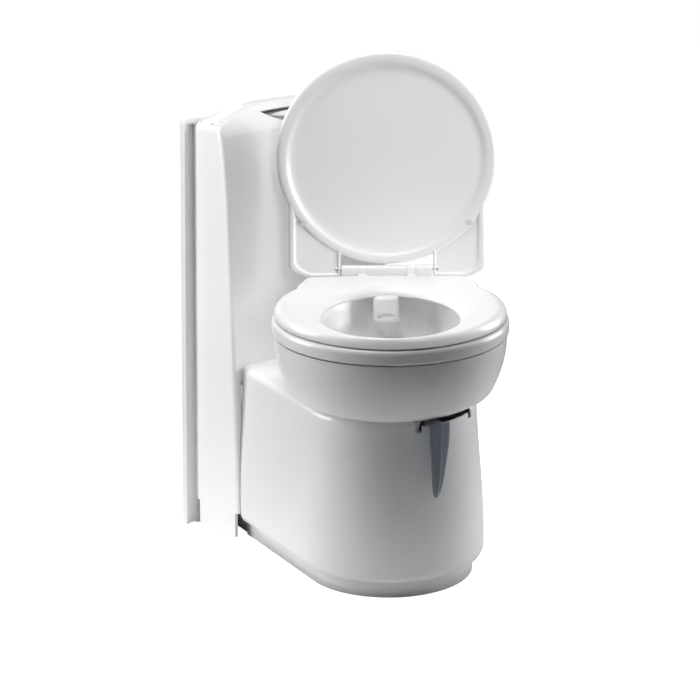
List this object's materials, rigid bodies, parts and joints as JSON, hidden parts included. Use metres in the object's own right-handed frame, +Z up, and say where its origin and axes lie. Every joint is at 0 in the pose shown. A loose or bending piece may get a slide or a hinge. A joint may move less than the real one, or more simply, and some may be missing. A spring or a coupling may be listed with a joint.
{
  "type": "cassette toilet",
  "caption": "White cassette toilet with a swivelling bowl, hinged seat and lid, side column with flush tank, and a wheeled waste tank that slides out at the rear.",
  "frame": {"origin": "on the floor, on the vertical swivel axis of the bowl", "axes": "+X to the right seen from the front, +Y back towards the wall, +Z up"},
  "size_m": [0.4693, 0.5626, 0.826],
  "materials": {
    "white_plastic": "glossy moulded plastic",
    "seat_plastic": "glossy moulded plastic",
    "grey_plastic": "satin moulded plastic",
    "slate_plastic": "satin slate grey plastic",
    "rubber": "matt rubber",
    "tank_plastic": "satin polyethylene",
    "orange_plastic": "satin moulded plastic",
    "clear_plastic": "clear moulded plastic",
    "steel": "brushed",
    "hose": "matt flexible hose",
    "circuit_board": "coated board"
  },
  "bodies": {
    "console": {"column_shell": "white_plastic", "back_plate": "white_plastic", "column_plinth_left": "white_plastic", "column_plinth_right": "white_plastic", "base_shell": "white_plastic", "base_plinth": "white_plastic", "floor_pan": "tank_plastic", "floor_screw_left": "steel", "floor_screw_right": "steel", "control_panel": "grey_plastic", "control_board": "circuit_board", "flush_tank": "tank_plastic", "pump_body": "tank_plastic", "flush_hose": "hose", "mechanism_plate": "tank_plastic", "swivel_bearing": "steel", "guide_rail_left": "tank_plastic", "guide_rail_right": "tank_plastic", "latch_post": "tank_plastic"},
    "bowl": {"bowl_shell": "white_plastic", "bowl_basin": "white_plastic", "rim_ring": "white_plastic", "flush_nozzle": "white_plastic", "hinge_block": "white_plastic", "hinge_pin": "steel"},
    "seat": {"seat_ring": "seat_plastic", "seat_bumper_front_left": "rubber", "seat_bumper_front_right": "rubber", "seat_bumper_rear_left": "rubber", "seat_bumper_rear_right": "rubber"},
    "lid": {"lid_panel": "seat_plastic", "lid_bumper_left": "rubber", "lid_bumper_right": "rubber"},
    "lever": {"ring_gear": "steel", "lever_arm": "steel", "blade_lever": "slate_plastic"},
    "pinion": {"blade_pinion": "tank_plastic"},
    "flush_button": {"flush_button": "white_plastic", "level_lens": "clear_plastic"},
    "fill_cap": {"fill_cap": "orange_plastic"},
    "pump_rotor": {"pump_rotor": "orange_plastic"},
    "cassette": {"cassette_tank": "tank_plastic", "lip_seal": "rubber", "cover_rail_left": "tank_plastic", "cover_rail_right": "tank_plastic", "carry_handle": "slate_plastic", "wheel_axle": "steel"},
    "blade": {"blade": "tank_plastic"},
    "cover": {"sliding_cover": "tank_plastic"},
    "tow_handle": {"tow_handle": "slate_plastic"},
    "wheel_left": {"wheel_left": "rubber"},
    "wheel_right": {"wheel_right": "rubber"},
    "spout": {"pour_spout": "slate_plastic"},
    "spout_cap": {"spout_cap": "orange_plastic"},
    "vent_button": {"vent_button": "orange_plastic"},
    "float": {"level_float": "orange_plastic"},
    "latch": {"cassette_latch": "orange_plastic"}
  },
  "joints": [
    {"name": "bowl_swivel", "type": "hinge", "parent": "console", "child": "bowl", "pos_m": [0, 0, 0.3], "axis": [0, 0, 1], "range_deg": [-60, 120]},
    {"name": "seat_hinge", "type": "hinge", "parent": "bowl", "child": "seat", "pos_m": [0.0965, 0.16714, 0.452], "axis": [-0.866, 0.5, 0], "range_deg": [0, 90]},
    {"name": "lid_hinge", "type": "hinge", "parent": "bowl", "child": "lid", "pos_m": [0.0965, 0.16714, 0.452], "axis": [-0.866, 0.5, 0], "range_deg": [-94, 3]},
    {"name": "lever_turn", "type": "hinge", "parent": "console", "child": "lever", "pos_m": [0, 0, 0.23], "axis": [0, 0, 1], "range_deg": [0, 34]},
    {"name": "pinion_turn", "type": "hinge", "parent": "console", "child": "pinion", "pos_m": [0.083, 0.056, 0.23], "axis": [0, 0, 1], "range_deg": [-68, 0]},
    {"name": "cassette_slide", "type": "slide", "parent": "console", "child": "cassette", "axis": [0, 1, 0], "range_m": [0, 0.45]},
    {"name": "blade_swing", "type": "hinge", "parent": "cassette", "child": "blade", "pos_m": [0.083, 0.056, 0.19], "axis": [0, 0, 1], "range_deg": [-68, 0]},
    {"name": "cover_slide", "type": "slide", "parent": "cassette", "child": "cover", "axis": [0, -1, 0], "range_m": [0, 0.13]},
    {"name": "tow_handle_pull", "type": "slide", "parent": "cassette", "child": "tow_handle", "axis": [0, 1, 0], "range_m": [0, 0.18]},
    {"name": "wheel_left_spin", "type": "hinge", "parent": "cassette", "child": "wheel_left", "pos_m": [-0.11, 0, 0.0223], "axis": [1, 0, 0], "continuous": true},
    {"name": "wheel_right_spin", "type": "hinge", "parent": "cassette", "child": "wheel_right", "pos_m": [0.11, 0, 0.0223], "axis": [1, 0, 0], "continuous": true},
    {"name": "spout_swing", "type": "hinge", "parent": "cassette", "child": "spout", "pos_m": [0.075, 0.29, 0.21], "axis": [0, 0, -1], "range_deg": [0, 90]},
    {"name": "spout_cap_turn", "type": "hinge", "parent": "spout", "child": "spout_cap", "pos_m": [-0.03, 0.29, 0.219], "axis": [1, 0, 0], "range_deg": [0, 180]},
    {"name": "vent_press", "type": "slide", "parent": "cassette", "child": "vent_button", "axis": [0, 0, -1], "range_m": [0, 0.002]},
    {"name": "float_drop", "type": "hinge", "parent": "cassette", "child": "float", "pos_m": [-0.096, 0.16, 0.173], "axis": [-1, 0, 0], "range_deg": [0, 35]},
    {"name": "flush_press", "type": "slide", "parent": "console", "child": "flush_button", "axis": [0, 0.6428, -0.766], "range_m": [0, 0.003]},
    {"name": "fill_cap_turn", "type": "hinge", "parent": "console", "child": "fill_cap", "pos_m": [0.09, 0.36, 0.59], "axis": [0, 1, 0], "range_deg": [0, 90]},
    {"name": "pump_spin", "type": "hinge", "parent": "console", "child": "pump_rotor", "pos_m": [-0.112, 0.322, 0.256], "axis": [0, 0, 1], "continuous": true},
    {"name": "latch_turn", "type": "hinge", "parent": "console", "child": "latch", "pos_m": [0.142, 0.345, 0.06], "axis": [0, -1, 0], "range_deg": [0, 80]}
  ],
  "couplings": [
    {"joint": "pinion_turn", "follows": "lever_turn", "ratio": -2},
    {"joint": "blade_swing", "follows": "lever_turn", "ratio": -2}
  ]
}
